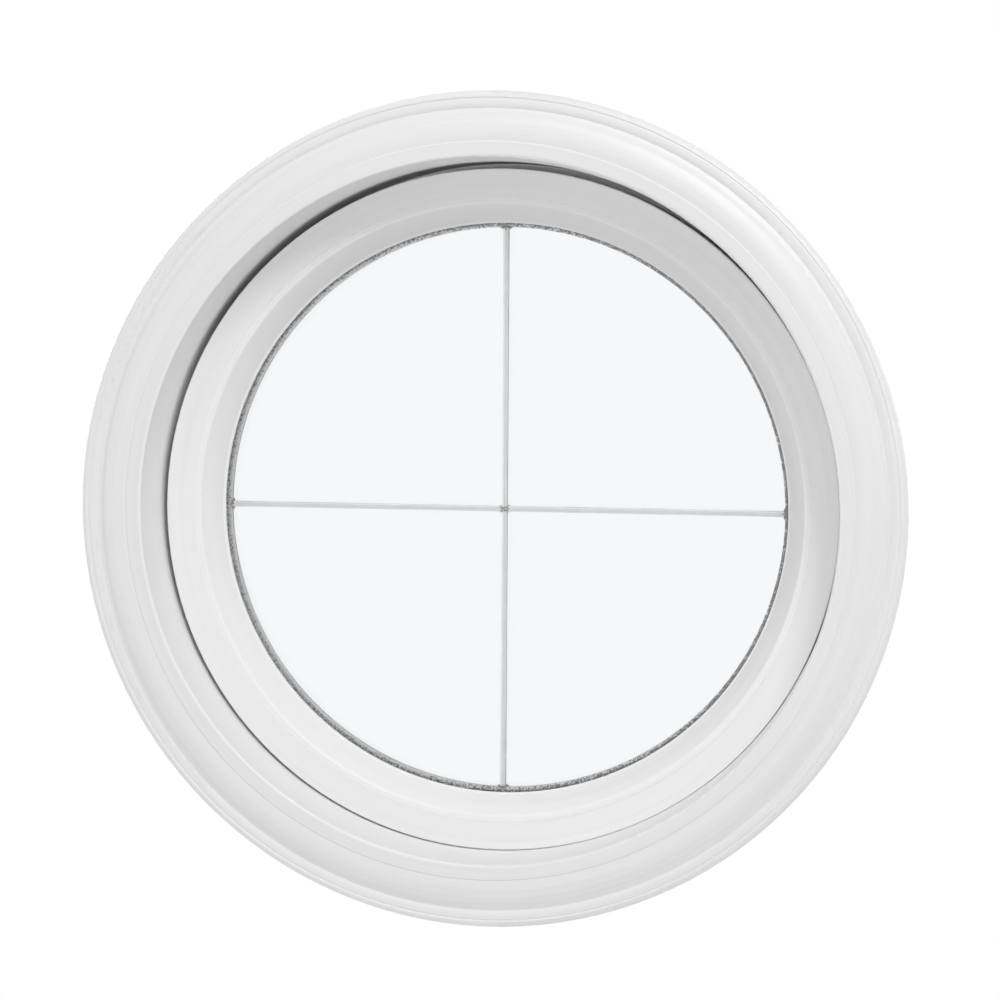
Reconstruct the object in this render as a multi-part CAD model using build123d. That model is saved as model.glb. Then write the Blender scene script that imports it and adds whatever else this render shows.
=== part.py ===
from build123d import *
import os
from math import cos, radians, sin

# Round fixed window for a framed wall, seen from the room side.
# A plastic main frame holds a sealed glass unit with a leaded cross inside it.
# A moulded trim ring, casing and deep sleeve in one piece, slides over the frame.
# Its sleeve narrows towards the frame, which rests low inside it.
# Units are millimetres. Y is the window's axis and +Y points out of the house.
# The origin is the centre of the nailing fin's hole circle, on the face that
# lies against the outside of the wall. +Z is up.

# Sight line and main frame, radii built outwards
sight_r = 230.0
bead_width = 20.0
frame_face = 22.2
shoulder = 7.3
frame_wall = 2.0
frame_edge = 0.8

# Depths of the main frame along the axis, from the fin plane
frame_reach = 83.0
face_slope = 2.0
shoulder_depth = 24.0
nose_reach = 25.0
nose_width = 17.5
nose_round = 3.0
cove_step = 4.0
cove_hollow = 6.0
stop_t = 3.5
web_t = 2.0

# Sealed glass unit
glass_set_back = 29.0
glass_bite = 12.0
edge_gap = 4.0
pane_t = 3.0
spacer_t = 4.0
spacer_width = 6.0
seal_width = 4.0
tape_t = 1.6
tape_width = 10.0
tape_inset = 1.0

# Leaded panel inside the unit
came_height = 5.0
came_face = 4.4
came_web = 1.2
came_flange = 0.9
came_crown = 0.4
border_show = 3.2
panel_t = 3.0
panel_gap = 0.3
joint_gap = 0.1
solder_r = 3.4
solder_rise = 1.1
solder_skirt = 0.3
seam_turn = 45.0

# Glazing bead and its gasket
bead_wall = 1.8
bead_drop = 0.2
bead_gap = 0.06
bead_land = 5.2
bead_round = 1.5
bead_hollow = 0.6
barb_depth = 0.9
barb_height = 2.0
barb_inset = 0.8
toe_height = 1.6
gasket_t = 1.3
gasket_width = 3.6

# Nailing fin
fin_t = 2.0
fin_reach = 38.5
fin_seat = 6.0
fin_step = 0.6
fin_gap = 0.2
fin_holes = 12
fin_hole_d = 5.0
fin_hole_inset = 13.0

# Trim ring
wall_depth = 116.0
trim_wall = 2.8
sleeve_gap = 3.15
sleeve_flare = 1.35
seat_gap = 0.25
seat_turn = 28.0
sleeve_stop = 2.0
casing_width = 51.5
casing_height = 22.0
crest_width = 12.0
crest_round = 2.2
quirk_width = 1.0
quirk_depth = 0.8
swell_start = 2.8
swell_rise = 0.3
swell_bulge = 1.5
rim_width = 5.0
rim_height = 9.5
rim_rise = 4.7
groove_width = 2.0
groove_depth = 0.6
roll_width = 6.7
roll_rise = 0.8
cove_width = 6.5
cove_height = 13.2
cove_rise = 4.2
cove_bulge = 0.6
rib_count = 24
rib_t = 2.0
rib_set_back = 1.0
rib_root = 0.5

# Blocks round the glass edge
block_length = 60.0
block_gap = 0.1
block_turn = 24.0

# Drainage at the bottom of the frame
weep_length = 26.0
weep_height = 4.0
weep_turn = 13.0
weep_inset = 1.0
cover_margin = 3.0
cover_depth = 4.0
cover_wall = 1.2

# How far a cut runs on past the face that it opens
cut_margin = 1.0

# Radii that follow from the sizes above
unit_r = sight_r + glass_bite
pocket_r = unit_r + edge_gap
bead_r = sight_r + bead_width
frame_r = bead_r + frame_face
chamber_r = frame_r - frame_wall
shoulder_r = frame_r + shoulder
nose_r = shoulder_r - nose_width
fin_r = shoulder_r + fin_reach
fin_circle_r = fin_r - fin_hole_inset
border_r = sight_r - border_show
panel_r = unit_r - seal_width
sleeve_r = frame_r + sleeve_gap
mouth_r = sleeve_r + sleeve_flare
casing_r = mouth_r + casing_width
weep_high_r = chamber_r - weep_inset
weep_low_r = weep_high_r - weep_height

# Places along the axis that follow from the sizes above
face_y = -frame_reach
bead_y = face_y + face_slope
glass_y = face_y + glass_set_back
came_y = glass_y + pane_t + spacer_t
panel_y = came_y + came_height / 2
came_back_y = came_y + came_height
rear_pane_y = came_back_y + spacer_t
unit_back_y = rear_pane_y + pane_t
stop_y = unit_back_y + tape_t
stop_back_y = stop_y + stop_t
toe_y = glass_y - gasket_t
barb_y = glass_y + barb_inset
ledge_y = barb_y + barb_height
shoulder_y = -shoulder_depth
casing_y = -wall_depth
sleeve_end_y = shoulder_y - sleeve_stop

# Heights above the casing's back, towards the room: below zero inside the wall
face_height = casing_y - face_y
sleeve_end_height = casing_y - sleeve_end_y
mouth_height = casing_height - crest_round

# The frame rests low in the sleeve, so the trim ring sits up and to one side
trim_shift = sleeve_gap - seat_gap
trim_x = -trim_shift * sin(radians(seat_turn))
trim_z = trim_shift * cos(radians(seat_turn))


def closed(*corners):
    """A straight-sided closed outline."""
    return Polyline(*corners, close=True)


def ring(outline, *voids):
    """A body turned about the axis from closed outlines in radius and Y."""
    face = make_face(outline)
    for void in voids:
        face -= make_face(void)
    return revolve(face, Axis.Y, 360)


def band(inner, outer, start, end):
    """A plain ring of rectangular section."""
    return ring(closed((inner, start), (outer, start), (outer, end), (inner, end)))


def disc(radius, start, end):
    """A round plate square to the axis."""
    return extrude(Plane((0, start, 0), z_dir=(0, 1, 0)) * Circle(radius), end - start)


def around(angle):
    """A turn about the axis, 0 at the top and clockwise from the room."""
    return Rot(0, angle, 0)


def block(inner, outer, start, end, length, angle):
    """A box that lies across the ring at one place."""
    centre = Pos(0, (start + end) / 2, (inner + outer) / 2)
    return around(angle) * centre * Box(length, end - start, outer - inner)


def group(pieces):
    """Separate solids that share one node."""
    return Compound(children=[solid for piece in pieces for solid in piece.solids()])


def middle(start, end, bulge):
    """Point beside the middle of a chord, to the left of it by the bulge."""
    run = Vector(*end) - Vector(*start)
    side = Vector(-run.Y, run.X).normalized() * bulge
    point = (Vector(*start) + Vector(*end)) / 2 + side
    return point.X, point.Y


def bow(start, end, bulge):
    """An arc between two points, bulging to the left of its chord."""
    return ThreePointArc(start, middle(start, end, bulge), end)


def frame_outline():
    """Outer outline of the frame section: bead hook, pocket, stop, fin groove and nose."""
    hook_r = bead_r + barb_depth + bead_gap
    hook_y = barb_y - bead_gap - barb_depth
    groove_r = shoulder_r - fin_seat - fin_gap
    cove_start = (nose_r - cove_step, nose_reach - 2 * cove_step)
    cove_end = (sight_r + cove_step, stop_back_y + cove_step)
    sides = Polyline(
        cove_end,
        (sight_r, stop_back_y),
        (sight_r, stop_y),
        (pocket_r, stop_y),
        (pocket_r, ledge_y),
        (hook_r, ledge_y),
        (hook_r, hook_y),
        (bead_r, hook_y),
        (bead_r, bead_y),
        (frame_r - frame_edge, face_y),
        (frame_r, face_y + frame_edge),
        (frame_r, shoulder_y),
        (shoulder_r, shoulder_y),
        (shoulder_r, fin_step - fin_gap),
        (groove_r, fin_step - fin_gap),
        (groove_r, fin_t + fin_gap),
        (shoulder_r, fin_t + fin_gap),
        (shoulder_r, nose_reach - nose_round),
        (shoulder_r - nose_round, nose_reach),
        (nose_r, nose_reach),
        cove_start,
    )
    return sides + bow(cove_start, cove_end, -cove_hollow)


def frame_chambers():
    """The closed chambers of the frame section, from the room side to the nose."""
    front_r = bead_r + barb_depth + bead_gap + frame_wall
    middle_r = pocket_r + frame_wall
    front_end = ledge_y - web_t / 2
    middle_start = ledge_y + web_t
    middle_end = stop_back_y - web_t / 2
    rear_start = middle_end + web_t
    rear_end = fin_step - fin_gap - web_t
    nose_start = fin_t + fin_gap + web_t
    skin = 1.5 * frame_wall
    front = closed(
        (front_r, bead_y + frame_wall),
        (chamber_r, face_y + frame_wall),
        (chamber_r, front_end),
        (front_r, front_end),
    )
    centre = closed(
        (middle_r, middle_start), (chamber_r, middle_start), (chamber_r, middle_end), (middle_r, middle_end)
    )
    rear = closed(
        (sight_r + 2 * cove_step + skin, rear_start),
        (chamber_r, rear_start),
        (chamber_r, rear_end),
        (nose_r - 2 * cove_step, rear_end),
    )
    nose = closed(
        (nose_r - cove_step / 2, nose_start),
        (shoulder_r - frame_wall, nose_start),
        (shoulder_r - frame_wall, nose_reach - nose_round - frame_wall / 2),
        (shoulder_r - nose_round - frame_wall / 2, nose_reach - frame_wall),
        (nose_r + frame_wall / 2, nose_reach - frame_wall),
    )
    return front, centre, rear, nose


def weep_angles():
    """Places of the two drains, either side of the bottom."""
    return 180 - weep_turn, 180 + weep_turn


def drain_cutters():
    """Slots that let water out of the glazing pocket and through the nose."""
    pocket_start = unit_back_y - 2 * weep_height
    cutters = []
    for angle in weep_angles():
        pocket_end = pocket_start + weep_height
        high = pocket_r + 2 * frame_wall
        cutters.append(block(unit_r, high, pocket_start, pocket_end, weep_length, angle))
        cutters.append(block(weep_low_r, weep_high_r, stop_y, nose_reach + cut_margin, weep_length, angle))
    return cutters


def main_frame():
    """Hollow extrusion bent into a ring, drained at the bottom."""
    return ring(frame_outline(), *frame_chambers()) - drain_cutters()


def nailing_fin():
    """Flat flange with its circle of nail holes, held by a thinner tongue in the frame's groove."""
    flange = band(shoulder_r + fin_gap, fin_r, 0, fin_t)
    flange += band(shoulder_r - fin_seat, fin_r, fin_step, fin_t)
    hole = Pos(0, 0, fin_circle_r) * Rot(90, 0, 0) * Cylinder(fin_hole_d / 2, 4 * fin_t)
    return flange - [around(360 * step / fin_holes) * hole for step in range(fin_holes)]


def weep_covers():
    """Small hoods over the drain slots on the nose, open on their lower side."""
    low = weep_low_r - cover_margin / 2
    high = weep_high_r + cover_margin
    top = nose_reach + cover_depth
    length = weep_length + 2 * cover_margin
    hoods = []
    for angle in weep_angles():
        shell = block(low, high, nose_reach, top, length, angle)
        opening = high + cut_margin
        inside = block(low + cover_wall, opening, 0, top - cover_wall, length - 2 * cover_wall, angle)
        hoods.append(shell - inside)
    return group(hoods)


def glazing_bead():
    """Snap-in bead: narrow land, rounded edge, sloping face, toe on the gasket and a hooked leg."""
    outer = bead_r - bead_gap
    inner = outer - bead_wall
    top_y = bead_y + bead_drop
    barb_end_y = ledge_y - bead_gap
    edge = Vector(bead_r - bead_land, top_y)
    toe = Vector(sight_r + toe_height, toe_y - 2 * toe_height)
    round_start = edge + Vector(bead_round, 0)
    round_end = edge + (toe - edge).normalized() * bead_round
    sides = Polyline(
        (toe.X, toe.Y),
        (sight_r, toe_y - toe_height),
        (sight_r, toe_y),
        (sight_r + gasket_width, toe_y),
        (edge.X + bead_wall / 2, top_y + bead_wall),
        (inner, top_y + bead_wall),
        (inner, barb_end_y),
        (outer + barb_depth, barb_end_y),
        (outer + barb_depth, barb_y),
        (outer, barb_y - barb_depth),
        (outer, top_y),
        (round_start.X, round_start.Y),
    )
    edge_arc = TangentArc(round_start, round_end, tangent=(-1, 0))
    return ring(sides + edge_arc + bow((round_end.X, round_end.Y), (toe.X, toe.Y), bead_hollow))


def bead_gasket():
    """Soft strip between the bead's toe and the room-side pane."""
    return band(sight_r, sight_r + gasket_width, toe_y, glass_y)


def glazing_tape():
    """Sealing tape between the rear pane and the frame's stop."""
    start = sight_r + tape_inset
    return band(start, start + tape_width, unit_back_y, stop_y)


def spacer(start):
    """Flexible spacer ring that keeps a pane off the leaded panel."""
    return band(panel_r - spacer_width, panel_r, start, start + spacer_t)


def edge_seal():
    """Sealant round the rim of the sealed unit, between the outer panes."""
    return band(panel_r, unit_r, glass_y + pane_t, rear_pane_y)


def came_border():
    """Channel round the rim of the leaded panel."""
    web_r = panel_r - came_web
    outline = closed(
        (border_r, came_y),
        (panel_r, came_y),
        (panel_r, came_back_y),
        (border_r, came_back_y),
        (border_r, came_back_y - came_flange),
        (web_r, came_back_y - came_flange),
        (web_r, came_y + came_flange),
        (border_r, came_y + came_flange),
    )
    return ring(outline)


def came_section():
    """H section of the inner cames with crowned faces, across X and Y."""
    half = came_face / 2
    face = came_height / 2
    root = face - came_flange
    web = came_web / 2
    right = [(half, -face), (half, -root), (web, -root), (web, root), (half, root), (half, face)]
    left = [(-x, -y) for x, y in right]
    front = bow(left[-1], right[0], -came_crown)
    back = bow(right[-1], left[0], -came_crown)
    return make_face(Polyline(*right) + back + Polyline(*left) + front)


def came(start, end, angle):
    """A length of came along one radius, fitted inside the border."""
    bar = around(angle) * Pos(0, panel_y, start) * extrude(came_section(), end - start)
    return bar & disc(border_r - joint_gap, glass_y, unit_back_y)


def inner_cames():
    """The upright came, and one either side that butts against it."""
    edge = came_face / 2 + joint_gap
    return came(-border_r, border_r, 0), came(edge, border_r, 270), came(edge, border_r, 90)


def quarter_pane(angle):
    """One quarter of the leaded panel's glass, held in the channels of the cames."""
    edge = came_web / 2 + panel_gap
    plate = disc(panel_r - came_web - panel_gap, panel_y - panel_t / 2, panel_y + panel_t / 2)
    corner = Box(unit_r, came_height, unit_r, align=(Align.MIN, Align.CENTER, Align.MIN))
    return around(angle) * (plate & Pos(edge, panel_y, edge) * corner)


def solder_dome():
    """A low dome of solder that rises along +Y, with a skirt, its seam turned off the cames."""
    top = (0, solder_rise)
    side = (0.7 * solder_r, 0.6 * solder_rise)
    edge = (solder_r, 0)
    outline = Polyline(top, (0, -solder_skirt), (solder_r, -solder_skirt), edge)
    outline += ThreePointArc(edge, side, top)
    return around(seam_turn) * revolve(make_face(outline), Axis.Y, 360)


def solder_joints(carriers):
    """Solder on both faces, at the crossing and where the cames meet the border."""
    dome = solder_dome()
    blobs = []
    for place in (Pos(0, came_back_y, 0), Pos(0, came_y, 0) * Rot(180, 0, 0)):
        blobs.append(place * dome)
        blobs += [around(angle) * Pos(0, 0, border_r) * place * dome for angle in (0, 90, 180, 270)]
    return group([blob - carriers for blob in blobs])


def edge_blocks(angles):
    """Plastic blocks between the rim of the sealed unit and the frame's pocket."""
    whole = band(unit_r + block_gap, pocket_r - block_gap, glass_y, unit_back_y)
    return group([whole & block(0, pocket_r, glass_y, unit_back_y, block_length, angle) for angle in angles])


def sleeve_wall(height):
    """Inner radius of the sleeve at a height above the casing's back, down to the frame's face."""
    return sleeve_r + sleeve_flare * (height - face_height) / (mouth_height - face_height)


def casing_stations():
    """Radii of the casing's moulding, from the outer groove in to the quirk."""
    groove_r = casing_r - rim_width
    roll_r = groove_r - groove_width
    trough_r = roll_r - roll_width
    turn_r = trough_r - cove_width
    quirk_r = mouth_r + crest_width
    return groove_r, roll_r, trough_r, turn_r, quirk_r


def casing_heights():
    """Heights of the rim, the turn of the ogee and the quirk above the casing's back."""
    return rim_height + rim_rise, cove_height + cove_rise, casing_height - quirk_depth


def casing_face():
    """Moulded face of the trim ring from its rim to the end of the sleeve, radius and height."""
    groove_r, roll_r, trough_r, turn_r, quirk_r = casing_stations()
    rim_top, turn_top, quirk_top = casing_heights()
    groove_bottom = (groove_r - groove_width / 2, rim_top - groove_depth)
    swell_end = (quirk_r + swell_start, quirk_top + swell_rise)
    quirk_bottom = (quirk_r + quirk_width / 2, quirk_top)
    quirk_edge = (quirk_r - quirk_width / 2, casing_height)
    crest_end = (mouth_r + crest_round, casing_height)
    mouth = (mouth_r, mouth_height)
    side = Polyline((casing_r, 0), (casing_r, rim_height))
    rim = bow((casing_r, rim_height), (groove_r, rim_top), -rim_rise / 4)
    groove = Polyline((groove_r, rim_top), groove_bottom, (roll_r, rim_top))
    roll = bow((roll_r, rim_top), (trough_r, cove_height), -roll_rise)
    cove = bow((trough_r, cove_height), (turn_r, turn_top), cove_bulge)
    swell = bow((turn_r, turn_top), swell_end, -swell_bulge)
    crest = Polyline(swell_end, quirk_bottom, quirk_edge, crest_end)
    nose = RadiusArc(crest_end, mouth, -crest_round)
    sleeve = Polyline(mouth, (sleeve_r, face_height), (sleeve_r, sleeve_end_height))
    return side + rim + groove + roll + cove + swell + crest + nose + sleeve


def casing_hollow(root=0):
    """Path along the hollow back of the casing, from rim to sleeve, sunk into the skin by root."""
    groove_r, roll_r, trough_r, turn_r, quirk_r = casing_stations()
    rim_top, turn_top, quirk_top = casing_heights()
    roll_top = (rim_top + cove_height) / 2 + roll_rise
    depth = trim_wall - root
    top = casing_height - depth
    return [
        (casing_r - depth, rim_height),
        ((groove_r + roll_r) / 2, rim_top - groove_depth - depth),
        ((roll_r + trough_r) / 2, roll_top - depth),
        (trough_r, cove_height - depth),
        (turn_r, turn_top - depth),
        (quirk_r, quirk_top - depth),
        (sleeve_wall(top) + depth, top),
    ]


def on_wall(outline):
    """Turn an outline of radius and height into radius and place along the axis."""
    return Pos(0, casing_y, 0) * mirror(make_face(outline), Plane.XZ)


def casing_rib():
    """One web across the hollow back of the casing, from the sleeve to the rim."""
    path = casing_hollow(rib_root)
    outer = path[0][0]
    inner = sleeve_wall(rib_set_back) + trim_wall - rib_root
    outline = closed((outer, rib_set_back), *path, (inner, rib_set_back))
    return extrude(on_wall(outline), rib_t / 2, both=True)


def trim_ring():
    """Casing and sleeve in one moulding, ribbed behind, up and aside of the frame."""
    back_r = sleeve_r + trim_wall
    path = [(casing_r, 0), (casing_r - trim_wall, 0), *casing_hollow()]
    path += [(back_r, face_height), (back_r, sleeve_end_height), (sleeve_r, sleeve_end_height)]
    body = revolve(on_wall(casing_face() + Polyline(*path)), Axis.Y, 360)
    rib = casing_rib()
    body += [around(360 * step / rib_count) * rib for step in range(rib_count)]
    return Pos(trim_x, 0, trim_z) * body


def pieces():
    """Every piece by the name of its file."""
    cames = inner_cames()
    border = came_border()
    return {
        "trim_ring": trim_ring(),
        "main_frame": main_frame(),
        "nailing_fin": nailing_fin(),
        "weep_covers": weep_covers(),
        "glazing_bead": glazing_bead(),
        "bead_gasket": bead_gasket(),
        "glazing_tape": glazing_tape(),
        "setting_blocks": edge_blocks((180 - block_turn, 180 + block_turn)),
        "side_blocks": edge_blocks((0, 90, 270)),
        "front_pane": disc(unit_r, glass_y, glass_y + pane_t),
        "rear_pane": disc(unit_r, rear_pane_y, unit_back_y),
        "front_spacer": spacer(glass_y + pane_t),
        "rear_spacer": spacer(came_back_y),
        "edge_seal": edge_seal(),
        "came_border": border,
        "came_upright": cames[0],
        "came_left": cames[1],
        "came_right": cames[2],
        "solder_joints": solder_joints([*cames, border]),
        "pane_upper_right": quarter_pane(0),
        "pane_lower_right": quarter_pane(90),
        "pane_lower_left": quarter_pane(180),
        "pane_upper_left": quarter_pane(270),
    }


os.makedirs("parts", exist_ok=True)
for name, piece in pieces().items():
    export_step(piece, f"parts/{name}.step")
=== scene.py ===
from math import cos, pi, radians, sin

import bpy
from mathutils import Matrix, Vector, noise

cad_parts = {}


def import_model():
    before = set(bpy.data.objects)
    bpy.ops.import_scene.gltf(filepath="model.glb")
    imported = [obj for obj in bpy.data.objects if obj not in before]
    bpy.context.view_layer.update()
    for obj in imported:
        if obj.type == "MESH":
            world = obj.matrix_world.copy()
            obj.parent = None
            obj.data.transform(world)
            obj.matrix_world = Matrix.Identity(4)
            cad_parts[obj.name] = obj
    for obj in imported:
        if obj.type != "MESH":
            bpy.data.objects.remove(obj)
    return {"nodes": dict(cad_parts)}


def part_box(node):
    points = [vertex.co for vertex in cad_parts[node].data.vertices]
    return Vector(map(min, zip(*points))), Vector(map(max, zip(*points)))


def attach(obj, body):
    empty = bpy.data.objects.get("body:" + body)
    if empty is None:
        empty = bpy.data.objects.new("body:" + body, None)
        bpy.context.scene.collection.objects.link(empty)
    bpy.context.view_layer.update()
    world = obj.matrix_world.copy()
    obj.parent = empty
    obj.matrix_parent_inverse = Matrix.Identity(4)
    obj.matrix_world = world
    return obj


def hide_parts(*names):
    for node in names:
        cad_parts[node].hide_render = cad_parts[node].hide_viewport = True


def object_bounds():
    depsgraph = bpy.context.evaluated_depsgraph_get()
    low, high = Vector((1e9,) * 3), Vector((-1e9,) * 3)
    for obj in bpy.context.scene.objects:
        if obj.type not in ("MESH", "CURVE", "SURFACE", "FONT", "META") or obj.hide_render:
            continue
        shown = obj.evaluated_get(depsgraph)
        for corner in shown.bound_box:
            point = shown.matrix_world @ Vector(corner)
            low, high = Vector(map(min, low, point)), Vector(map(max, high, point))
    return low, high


# Looks of a round fixed window: satin white plastic, clear glass, silver-grey cames.
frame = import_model()
cad_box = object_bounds()

# Camera, from the rings of the photograph: metres, degrees and pixels of a 1000 pixel frame
FRAME_PIXELS = 1000
CAMERA_TARGET = Vector((0.0, -0.0553, 0.0))
CAMERA_AZIMUTH = 10.0
CAMERA_ELEVATION = 4.3
CAMERA_DISTANCE = 2.417
CAMERA_ROLL = 0.35
TARGET_PIXEL = (502.8, 509.5)
SENSOR = 36.0
FOCAL = 108.0
CLIP_END = 100.0

# Lamps: turn about the axis from the right, angle off the axis, distance, size and share of the light
LAMP_TARGET = Vector((0.0, -0.08, 0.0))
LAMPS = {
    "key": (62, 52, 3.6, 1.0, 0.36),
    "right": (0, 68, 3.2, 1.6, 0.03),
    "top": (90, 48, 3.2, 1.6, 0.05),
    "left": (180, 60, 3.2, 1.6, 0.10),
    "low": (245, 55, 3.2, 1.6, 0.15),
    "back_left": (150, 130, 3.2, 2.0, 0.30),
    "back_right": (40, 135, 3.2, 2.0, 0.22),
}
WORLD_LIGHT = 0.56

# Stage: the floor's depth below the window, its size, and how far out it starts to fade to white
FLOOR_DROP = 0.45
FLOOR_RADIUS = 1.6
FLOOR_CLEAR = 0.45
FLOOR_SIDES = 96
FLOOR_TONE = 0.86

# Plastic: grain of its broad tone and its skin, how dark tone and streaks get as a share of the
# white, and how far the roughness varies
PLASTIC_TONE = 7.0
PLASTIC_SKIN = 900.0
TONE_LOW = 0.985
STREAK_LOW = 0.965
ROUGHNESS_SPREAD = 0.08
PLASTIC_IOR = 1.5

# Streaks: radial spacing of the fine lines and how far round they run
STREAK_SPACING = 0.0022
STREAK_BENDS = 1.6

# Sleeve of the trim ring: painted light that whitens its shaded wall against the casing, and the radii
# over which it ends
SLEEVE_PAINTED_LIGHT = 1.09
SLEEVE_RADII = (0.277, 0.2795)

# Glass
GLASS_TINT = (0.973, 0.977, 0.982)
GLASS_IOR = 1.45

# Straight cames: light and dark tone, grain of their specks, patches and body, tone of the core
# as a share of the light, the upright's shift of that core as a share of half its width, and the
# stretch at each end that is dark all along its edges, in metres from the middle
CAME_LIGHT = 0.99
CAME_DARK = 0.4
CAME_METALLIC = 0.6
CAME_ROUGHNESS = 0.35
CAME_SPECKS = 1300.0
CAME_PATCHES = 22.0
CAME_BODY = 160.0
CAME_CORE = 0.84
CAME_SHIFT = 0.3
END_PATINA = (0.19, 0.225)

# Border came: light and dark tone, grain of its specks and patches, the radii over which painted shade
# darkens it towards the bead, the side that painted light keeps bright, in degrees round from the right,
# and how far the painted shade at the bead, the patches and the painted side light each shift its specks
BORDER_LIGHT = 0.98
BORDER_DARK = 0.26
BORDER_ROUGHNESS = 0.5
BORDER_SPECKS = 650.0
BORDER_PATCHES = 14.0
BORDER_INNER = 0.2268
BORDER_OUTER = 0.2303
BORDER_PAINTED_LIGHT_SIDE = 190.0
BORDER_PAINTED_SHADE = 0.10
BORDER_PATCH_SPREAD = 0.05
BORDER_PAINTED_SIDE_SPREAD = (-0.22, 0.18)

# Solder: light and dark tone, tone at the border as a share, and grain of its skin and specks
SOLDER_LIGHT = 0.68
SOLDER_DARK = 0.18
SOLDER_END_TONE = 0.85
SOLDER_METALLIC = 0.3
SOLDER_ROUGHNESS = 0.4
SOLDER_GRAIN = 700.0

# Shape of the solder: divisions, height of a joint's dome, how deep its rim sinks, unevenness of
# its skin, how narrow its arms are, and a joint's size and its arms' reach at the crossing and
# at an end
SOLDER_SPOKES = 72
SOLDER_RINGS = 14
SOLDER_RISE = 0.0007
SOLDER_SINK = 0.0003
SOLDER_UNEVENNESS = 0.0003
ARM_SHARPNESS = 8
CROSSING_SIZE = 0.0038
CROSSING_REACH = 0.0034
END_SIZE = 0.0017
END_REACH = 0.0030

# Grain of strips, foam and sealant
SOFT_GRAIN = 700.0


def cleared(owner):
    """The emptied nodes of a material or world, and its links."""
    owner.use_nodes = True
    owner.node_tree.nodes.clear()
    return owner.node_tree.nodes, owner.node_tree.links


def node_tree(name):
    """An empty material with a Principled shader, its nodes and its links."""
    material = bpy.data.materials.new(name)
    nodes, links = cleared(material)
    output = nodes.new("ShaderNodeOutputMaterial")
    shader = nodes.new("ShaderNodeBsdfPrincipled")
    links.new(shader.outputs["BSDF"], output.inputs["Surface"])
    return material, nodes, links, shader


def feed(links, value, socket):
    """Give a socket another socket's value or a plain number."""
    if isinstance(value, (int, float)):
        socket.default_value = value
    else:
        links.new(value, socket)


def object_point(nodes):
    """Texture coordinates in metres, fixed to the piece."""
    return nodes.new("ShaderNodeTexCoord").outputs["Object"]


def math_node(nodes, links, operation, *values):
    """A Math node on sockets or plain numbers."""
    node = nodes.new("ShaderNodeMath")
    node.operation = operation
    for place, value in enumerate(values):
        feed(links, value, node.inputs[place])
    return node.outputs[0]


def noise_factor(nodes, links, point, scale, detail=2.0, roughness=0.5):
    """Noise over a point, as a factor between 0 and 1."""
    texture = nodes.new("ShaderNodeTexNoise")
    texture.inputs["Scale"].default_value = scale
    texture.inputs["Detail"].default_value = detail
    texture.inputs["Roughness"].default_value = roughness
    links.new(point, texture.inputs["Vector"])
    return texture.outputs["Fac"]


def grey(tone, warmth=0.0):
    """A near-neutral colour, warmer above zero."""
    return (tone * (1 + warmth), tone, tone * (1 - warmth))


def ramp(nodes, links, factor, *stops, warmth=0.0):
    """Greys along a factor, as (place, tone) stops."""
    node = nodes.new("ShaderNodeValToRGB")
    elements = node.color_ramp.elements
    while len(elements) < len(stops):
        elements.new(0.5)
    for element, (place, tone) in zip(elements, stops):
        element.position = place
        element.color = (*grey(tone, warmth), 1.0)
    links.new(factor, node.inputs["Fac"])
    return node.outputs["Color"]


def blend_colours(nodes, links, first, second, mode="MULTIPLY", factor=1.0):
    """Two colours mixed in one way."""
    node = nodes.new("ShaderNodeMix")
    node.data_type = "RGBA"
    node.blend_type = mode
    feed(links, factor, node.inputs["Factor"])
    links.new(first, node.inputs[6])
    links.new(second, node.inputs[7])
    return node.outputs[2]


def bump(nodes, links, shader, *layers):
    """Bumps laid over each other, each a height, a strength and a distance."""
    normal = None
    for height, strength, distance in layers:
        node = nodes.new("ShaderNodeBump")
        node.inputs["Strength"].default_value = strength
        node.inputs["Distance"].default_value = distance
        links.new(height, node.inputs["Height"])
        if normal:
            links.new(normal, node.inputs["Normal"])
        normal = node.outputs["Normal"]
    links.new(normal, shader.inputs["Normal"])


def map_range(nodes, links, value, low, high, start=0.0, end=1.0, kind="LINEAR"):
    """A value from start to end spread between two numbers."""
    node = nodes.new("ShaderNodeMapRange")
    node.interpolation_type = kind
    node.inputs["From Min"].default_value = start
    node.inputs["From Max"].default_value = end
    node.inputs["To Min"].default_value = low
    node.inputs["To Max"].default_value = high
    links.new(value, node.inputs["Value"])
    return node.outputs["Result"]


def radius_from(nodes, links, centre=(0.0, 0.0)):
    """Distance from the axis through a centre, the two offsets it comes from, and the depth."""
    split = nodes.new("ShaderNodeSeparateXYZ")
    links.new(object_point(nodes), split.inputs[0])
    across = math_node(nodes, links, "SUBTRACT", split.outputs["X"], centre[0])
    up = math_node(nodes, links, "SUBTRACT", split.outputs["Z"], centre[1])
    square = math_node(nodes, links, "ADD", math_node(nodes, links, "MULTIPLY", across, across),
                       math_node(nodes, links, "MULTIPLY", up, up))
    return math_node(nodes, links, "SQRT", square), across, up, split.outputs["Y"]


def ring_point(nodes, links, centre):
    """A point that changes quickly across a ring's section and slowly round the ring."""
    radius, across, up, depth = radius_from(nodes, links, centre)
    section = math_node(nodes, links, "ADD", radius, depth)
    join = nodes.new("ShaderNodeCombineXYZ")
    for socket, value in (("X", across), ("Y", up)):
        turn = math_node(nodes, links, "DIVIDE", value, radius)
        links.new(math_node(nodes, links, "MULTIPLY", turn, STREAK_BENDS), join.inputs[socket])
    links.new(math_node(nodes, links, "DIVIDE", section, STREAK_SPACING), join.inputs["Z"])
    return join.outputs[0]


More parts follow.
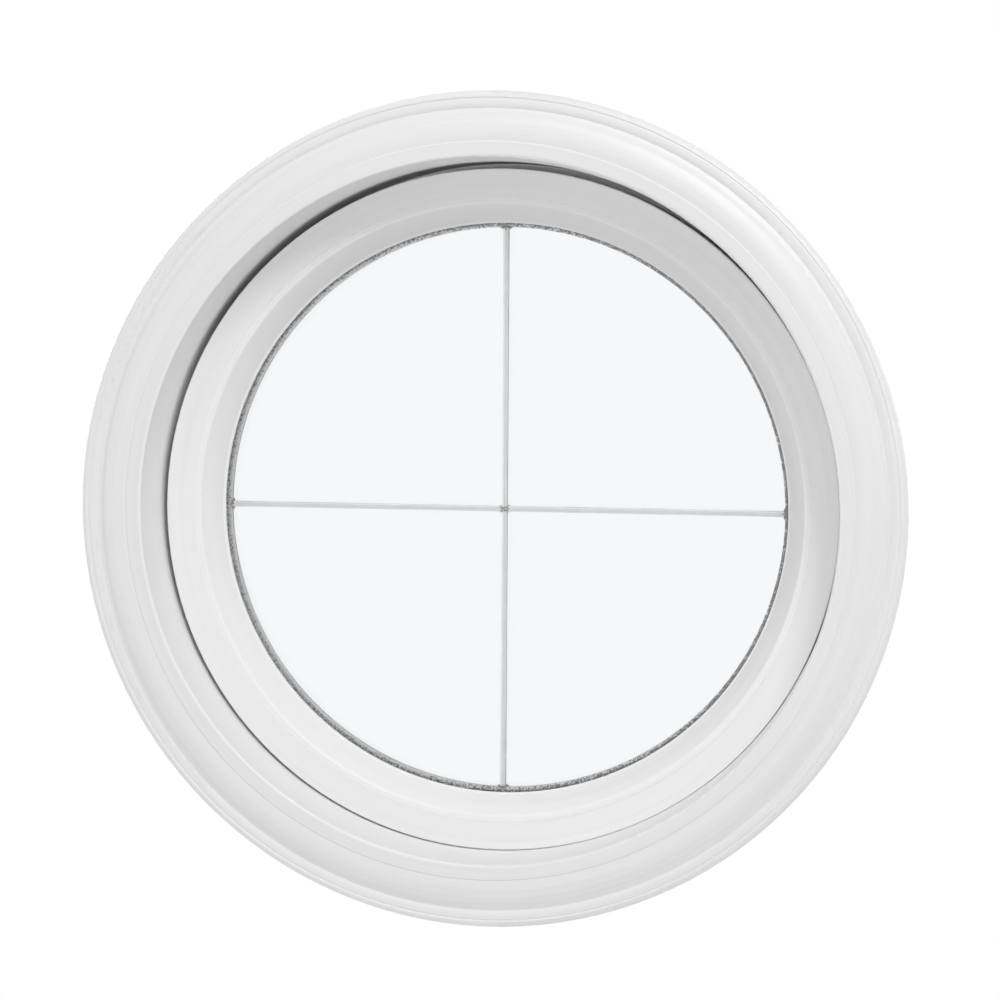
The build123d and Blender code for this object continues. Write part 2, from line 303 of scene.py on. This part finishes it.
def plastic(name, white, roughness, centre=(0.0, 0.0), warmth=0.0, sleeve=1.0):
    """Satin plastic: faint tone changes, streaks round the ring and a fine uneven skin.

    The sleeve can be whitened by a factor, as painted light for the shade of its recess.
    """
    material, nodes, links, shader = node_tree(name)
    point = object_point(nodes)
    streak = noise_factor(nodes, links, ring_point(nodes, links, centre), 0.5, 4.0, 0.6)
    broad = noise_factor(nodes, links, point, PLASTIC_TONE, 3.0)
    body = ramp(nodes, links, broad, (0.3, white * TONE_LOW), (0.7, white), warmth=warmth)
    lines = ramp(nodes, links, streak, (0.3, STREAK_LOW), (0.55, 1.0))
    colour = blend_colours(nodes, links, body, lines)
    # Painted light: the sleeve's wall is whitened where it lies in shade
    if sleeve != 1.0:
        radius = radius_from(nodes, links, centre)[0]
        painted_light = map_range(nodes, links, radius, sleeve, 1.0, *SLEEVE_RADII)
        colour = blend_colours(nodes, links, colour, painted_light)
    links.new(colour, shader.inputs["Base Color"])
    skin = noise_factor(nodes, links, point, PLASTIC_SKIN, 2.0)
    shine = map_range(nodes, links, streak, roughness - ROUGHNESS_SPREAD, roughness + ROUGHNESS_SPREAD)
    links.new(shine, shader.inputs["Roughness"])
    bump(nodes, links, shader, (streak, 0.35, 0.0003), (skin, 0.2, 0.00006))
    shader.inputs["IOR"].default_value = PLASTIC_IOR
    return material


def glass(name):
    """Clear glass, slightly tinted."""
    material, _, _, shader = node_tree(name)
    shader.inputs["Base Color"].default_value = (*GLASS_TINT, 1.0)
    shader.inputs["Roughness"].default_value = 0.0
    shader.inputs["IOR"].default_value = GLASS_IOR
    shader.inputs["Transmission Weight"].default_value = 1.0
    return material


def border_metal(name):
    """Light metal of the border came, specked with dark patina in patches, with painted shade that
    thickens the specks beside the bead and on one side, and painted light that thins them on the other.
    """
    material, nodes, links, shader = node_tree(name)
    radius, across, up = radius_from(nodes, links)[:3]
    fine = noise_factor(nodes, links, object_point(nodes), BORDER_SPECKS, 2.0, 0.8)
    patches = noise_factor(nodes, links, object_point(nodes), BORDER_PATCHES, 2.0)
    # Painted light and shade: specks thin on the lit side and thicken on the side away from the light
    bright = radians(BORDER_PAINTED_LIGHT_SIDE)
    side = math_node(nodes, links, "ADD", math_node(nodes, links, "MULTIPLY", across, cos(bright)),
                     math_node(nodes, links, "MULTIPLY", up, sin(bright)))
    # Painted shade: specks thicken towards the bead, where its toe shades the border
    parts = (
        map_range(nodes, links, radius, BORDER_PAINTED_SHADE, -BORDER_PAINTED_SHADE, BORDER_INNER, BORDER_OUTER),
        map_range(nodes, links, patches, -BORDER_PATCH_SPREAD, BORDER_PATCH_SPREAD),
        map_range(nodes, links, side, *BORDER_PAINTED_SIDE_SPREAD, -BORDER_OUTER, BORDER_OUTER),
    )
    level = map_range(nodes, links, fine, 0.2, 0.8, 0.3, 0.7)
    for part in parts:
        level = math_node(nodes, links, "ADD", level, part)
    colour = ramp(nodes, links, level, (0.30, BORDER_DARK), (0.42, BORDER_DARK * 1.6),
                  (0.50, BORDER_LIGHT * 0.68), (0.57, BORDER_LIGHT))
    links.new(colour, shader.inputs["Base Color"])
    shader.inputs["Metallic"].default_value = 1.0
    shader.inputs["Roughness"].default_value = BORDER_ROUGHNESS
    bump(nodes, links, shader, (fine, 0.4, 0.0002))
    return material


def came_patina(nodes, links, fine, patches, across, along):
    """Where a straight came is dark: ragged along its edges, in patches and all along at its ends."""
    ragged = math_node(nodes, links, "ADD", across, map_range(nodes, links, fine, -0.5, 0.5))
    edge = ramp(nodes, links, ragged, (0.78, 0.0), (1.04, 1.0))
    worn = ramp(nodes, links, patches, (0.54, 0.0), (0.68, 1.0))
    ends = map_range(nodes, links, along, 0.0, 1.0, *END_PATINA)
    return math_node(nodes, links, "MULTIPLY", edge, math_node(nodes, links, "MAXIMUM", worn, ends))


def came_metal(name, node, across, along, shift=0.0):
    """Light metal of a straight came, brighter towards its edges than along a darker core, with patches of
    patina along the edges.

    Across and along are the axes of its width and length, by number.
    """
    material, nodes, links, shader = node_tree(name)
    point = object_point(nodes)
    fine = noise_factor(nodes, links, point, CAME_SPECKS, 2.0, 0.8)
    patches = noise_factor(nodes, links, point, CAME_PATCHES, 1.0)
    low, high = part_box(node)
    half = (high[across] - low[across]) / 2
    split = nodes.new("ShaderNodeSeparateXYZ")
    links.new(point, split.inputs[0])
    off = math_node(nodes, links, "DIVIDE", split.outputs[across], half)
    out = math_node(nodes, links, "ABSOLUTE", split.outputs[along])
    dark = came_patina(nodes, links, fine, patches, math_node(nodes, links, "ABSOLUTE", off), out)
    from_core = math_node(nodes, links, "ABSOLUTE", math_node(nodes, links, "SUBTRACT", off, shift))
    # Darker along a core, which sits off to one side on the upright, and brighter towards the edges
    core_and_edges = ramp(nodes, links, from_core, (0.35, CAME_CORE), (0.8, 1.0))
    body = noise_factor(nodes, links, point, CAME_BODY, 3.0)
    plain = ramp(nodes, links, body, (0.35, CAME_LIGHT * 0.95), (0.65, CAME_LIGHT))
    clean = blend_colours(nodes, links, plain, core_and_edges)
    stain = ramp(nodes, links, fine, (0.3, CAME_DARK), (0.7, CAME_DARK * 1.6))
    links.new(blend_colours(nodes, links, clean, stain, "MIX", dark), shader.inputs["Base Color"])
    shader.inputs["Metallic"].default_value = CAME_METALLIC
    shader.inputs["Roughness"].default_value = CAME_ROUGHNESS
    bump(nodes, links, shader, (fine, 0.3, 0.0002))
    return material


def solder_metal(name):
    """Grey solder, specked with flux, and darker out at the border."""
    material, nodes, links, shader = node_tree(name)
    specks = noise_factor(nodes, links, object_point(nodes), SOLDER_GRAIN, 3.0, 0.75)
    bright = ramp(nodes, links, specks, (0.38, SOLDER_DARK), (0.48, SOLDER_LIGHT * 0.6),
                  (0.60, SOLDER_LIGHT))
    radius = radius_from(nodes, links)[0]
    outside = map_range(nodes, links, radius, 1.0, SOLDER_END_TONE, 0.0, END_PATINA[1])
    links.new(blend_colours(nodes, links, bright, outside), shader.inputs["Base Color"])
    shader.inputs["Metallic"].default_value = SOLDER_METALLIC
    shader.inputs["Roughness"].default_value = SOLDER_ROUGHNESS
    bump(nodes, links, shader, (specks, 0.6, 0.0003))
    return material


def soft(name, tone, roughness):
    """Soft strip, foam or sealant."""
    material, nodes, links, shader = node_tree(name)
    grain = noise_factor(nodes, links, object_point(nodes), SOFT_GRAIN, 2.0)
    colour = ramp(nodes, links, grain, (0.35, tone * 0.8), (0.65, tone))
    links.new(colour, shader.inputs["Base Color"])
    shader.inputs["Roughness"].default_value = roughness
    bump(nodes, links, shader, (grain, 0.3, 0.0003))
    return material


def dress(names, material):
    """Give CAD nodes a material."""
    for name in names:
        mesh = frame["nodes"][name].data
        mesh.materials.clear()
        mesh.materials.append(material)


def dress_all():
    """Materials of every node."""
    low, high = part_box("trim_ring")
    middle = (low + high) / 2
    trim = plastic("trim_plastic", white=0.84, roughness=0.42, centre=(middle.x, middle.z),
                   sleeve=SLEEVE_PAINTED_LIGHT)
    dress(["trim_ring"], trim)
    # The frame and bead are whiter than the trim, partly their own tone and partly painted light for the
    # shade of the recess they sit in
    dress(["main_frame"], plastic("frame_plastic", white=0.91, roughness=0.45))
    dress(["glazing_bead"], plastic("bead_plastic", white=0.95, roughness=0.5))
    dress(["nailing_fin", "weep_covers"], plastic("fin_plastic", white=0.74, roughness=0.5, warmth=0.01))
    dress(["front_pane", "rear_pane"], glass("clear_glass"))
    panes = ["pane_upper_left", "pane_upper_right", "pane_lower_left", "pane_lower_right"]
    dress(panes, glass("panel_glass"))
    dress(["came_upright"], came_metal("upright_metal", "came_upright", 0, 2, CAME_SHIFT))
    dress(["came_left", "came_right"], came_metal("level_metal", "came_left", 2, 0))
    dress(["came_border"], border_metal("border_metal"))
    dress(["front_spacer", "rear_spacer"], soft("spacer_foam", tone=0.75, roughness=0.8))
    dress(["edge_seal", "setting_blocks", "side_blocks"], soft("black_rubber", tone=0.03, roughness=0.6))
    dress(["glazing_tape"], soft("white_foam", tone=0.7, roughness=0.9))
    dress(["bead_gasket"], soft("grey_gasket", tone=0.6, roughness=0.55))


def link(obj):
    """Put an object in the scene."""
    bpy.context.scene.collection.objects.link(obj)
    return obj


def smooth_mesh(name, points, faces, material):
    """A smooth-shaded piece of the window."""
    mesh = bpy.data.meshes.new(name)
    mesh.from_pydata(points, [], faces)
    mesh.polygons.foreach_set("use_smooth", [True] * len(mesh.polygons))
    mesh.materials.append(material)
    return link(bpy.data.objects.new(name, mesh))


def solder_outline(angle, size, spread, arms):
    """Reach of a solder joint in one direction: a round blob drawn out along its cames."""
    reach = size
    for arm in arms:
        reach += spread * max(0.0, cos(angle - arm)) ** ARM_SHARPNESS
    return reach


def solder_blob(centre, size, spread, arms, face_y, side):
    """Points and faces of one joint: a low uneven dome on one face of the panel."""
    points = []
    faces = []
    for ring in range(SOLDER_RINGS + 1):
        share = ring / SOLDER_RINGS
        for spoke in range(SOLDER_SPOKES):
            angle = 2 * pi * spoke / SOLDER_SPOKES
            reach = share * solder_outline(angle, size, spread, arms)
            x = centre[0] + reach * cos(angle)
            z = centre[1] + reach * sin(angle)
            rough = noise.noise(Vector((x, z, side)) * SOLDER_GRAIN) * SOLDER_UNEVENNESS * (1 - share ** 4)
            height = SOLDER_RISE * (1 - share ** 2) - SOLDER_SINK * share + rough
            points.append((x, face_y + side * height, z))
    for ring in range(SOLDER_RINGS):
        for spoke in range(SOLDER_SPOKES):
            beside = (spoke + 1) % SOLDER_SPOKES
            inner, outer = ring * SOLDER_SPOKES, (ring + 1) * SOLDER_SPOKES
            corners = [inner + spoke, inner + beside, outer + beside, outer + spoke]
            faces.append(corners if side < 0 else corners[::-1])
    return points, faces


def solder():
    """Solder at the crossing and at the ends of the cames, on both faces."""
    low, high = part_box("came_border")
    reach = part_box("came_upright")[1].z
    quarter = pi / 2
    joints = [((0.0, 0.0), CROSSING_SIZE, CROSSING_REACH, [0.0, pi])]
    for step in range(4):
        angle = quarter * step
        place = (reach * cos(angle), reach * sin(angle))
        joints.append((place, END_SIZE, END_REACH, [angle + pi, angle + quarter, angle - quarter]))
    points = []
    faces = []
    for face_y, side in ((low.y, -1), (high.y, 1)):
        for centre, size, spread, arms in joints:
            more, corners = solder_blob(centre, size, spread, arms, face_y, side)
            faces += [[len(points) + corner for corner in face] for face in corners]
            points += more
    obj = smooth_mesh("solder_beads", points, faces, solder_metal("solder_metal"))
    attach(obj, "root")
    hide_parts("solder_joints")


def camera():
    """The photograph's view."""
    data = bpy.data.cameras.new("camera")
    data.sensor_width = SENSOR
    data.lens = FOCAL
    data.clip_end = CLIP_END
    data.shift_x = (FRAME_PIXELS / 2 - TARGET_PIXEL[0]) / FRAME_PIXELS
    data.shift_y = (TARGET_PIXEL[1] - FRAME_PIXELS / 2) / FRAME_PIXELS
    azimuth, elevation = radians(CAMERA_AZIMUTH), radians(CAMERA_ELEVATION)
    side = cos(elevation)
    towards = Vector((sin(azimuth) * side, -cos(azimuth) * side, sin(elevation)))
    place = CAMERA_TARGET + towards * CAMERA_DISTANCE
    turn = (-towards).to_track_quat("-Z", "Y").to_matrix().to_4x4()
    roll = Matrix.Rotation(radians(CAMERA_ROLL), 4, "Z")
    obj = link(bpy.data.objects.new("camera", data))
    obj.matrix_world = Matrix.Translation(place) @ turn @ roll
    bpy.context.scene.camera = obj


def lamp(name, turn, off, distance, size, share):
    """A square area lamp, strong enough to add its share of light where it shines straight on."""
    data = bpy.data.lights.new(name, "AREA")
    data.size = size
    data.energy = share * pi ** 2 * distance ** 2
    obj = link(bpy.data.objects.new(name, data))
    turn, off = radians(turn), radians(off)
    towards = Vector((cos(turn) * sin(off), -cos(off), sin(turn) * sin(off)))
    obj.location = LAMP_TARGET + towards * distance
    obj.rotation_euler = (-towards).to_track_quat("-Z", "Y").to_euler()


def seen(nodes, links):
    """One where the camera looks straight at a surface, in a mirror or through glass."""
    rays = nodes.new("ShaderNodeLightPath").outputs
    first = math_node(nodes, links, "MAXIMUM", rays["Is Camera Ray"], rays["Is Transmission Ray"])
    return math_node(nodes, links, "MAXIMUM", first, rays["Is Glossy Ray"])


def mix_shaders(nodes, links, factor, first, second):
    """Two shaders mixed by a factor."""
    node = nodes.new("ShaderNodeMixShader")
    links.new(factor, node.inputs["Fac"])
    links.new(first, node.inputs[1])
    links.new(second, node.inputs[2])
    return node.outputs["Shader"]


def world():
    """Even pale surroundings, white where they are seen."""
    studio = bpy.data.worlds.new("studio")
    bpy.context.scene.world = studio
    nodes, links = cleared(studio)
    output = nodes.new("ShaderNodeOutputWorld")
    skies = []
    for strength in (WORLD_LIGHT, 1.0):
        sky = nodes.new("ShaderNodeBackground")
        sky.inputs["Color"].default_value = (1, 1, 1, 1)
        sky.inputs["Strength"].default_value = strength
        skies.append(sky.outputs["Background"])
    links.new(mix_shaders(nodes, links, seen(nodes, links), *skies), output.inputs["Surface"])


def floor_material():
    """A pale floor that fades to white towards its rim, where it is seen."""
    material = bpy.data.materials.new("floor")
    nodes, links = cleared(material)
    output = nodes.new("ShaderNodeOutputMaterial")
    plain = nodes.new("ShaderNodeBsdfDiffuse")
    plain.inputs["Color"].default_value = (*grey(FLOOR_TONE), 1.0)
    white = nodes.new("ShaderNodeEmission")
    white.inputs["Strength"].default_value = 1.0
    flat = nodes.new("ShaderNodeVectorMath")
    flat.operation = "MULTIPLY"
    flat.inputs[1].default_value = (1, 1, 0)
    length = nodes.new("ShaderNodeVectorMath")
    length.operation = "LENGTH"
    links.new(object_point(nodes), flat.inputs[0])
    links.new(flat.outputs[0], length.inputs[0])
    fade = map_range(nodes, links, length.outputs["Value"], 0.0, 1.0, FLOOR_CLEAR, FLOOR_RADIUS,
                     kind="SMOOTHSTEP")
    factor = math_node(nodes, links, "MULTIPLY", seen(nodes, links), fade)
    mixed = mix_shaders(nodes, links, factor, plain.outputs["BSDF"], white.outputs["Emission"])
    links.new(mixed, output.inputs["Surface"])
    return material


def floor():
    """A round floor under the window."""
    low = cad_box[0][2] - FLOOR_DROP
    turns = [2 * pi * step / FLOOR_SIDES for step in range(FLOOR_SIDES)]
    rim = [(FLOOR_RADIUS * cos(turn), FLOOR_RADIUS * sin(turn), low) for turn in turns]
    mesh = bpy.data.meshes.new("floor")
    mesh.from_pydata(rim, [], [list(range(FLOOR_SIDES))])
    mesh.materials.append(floor_material())
    link(bpy.data.objects.new("floor", mesh))


dress_all()
solder()
camera()
world()
floor()
for name, settings in LAMPS.items():
    lamp(name, *settings)

bpy.context.scene.view_settings.view_transform = "Standard"
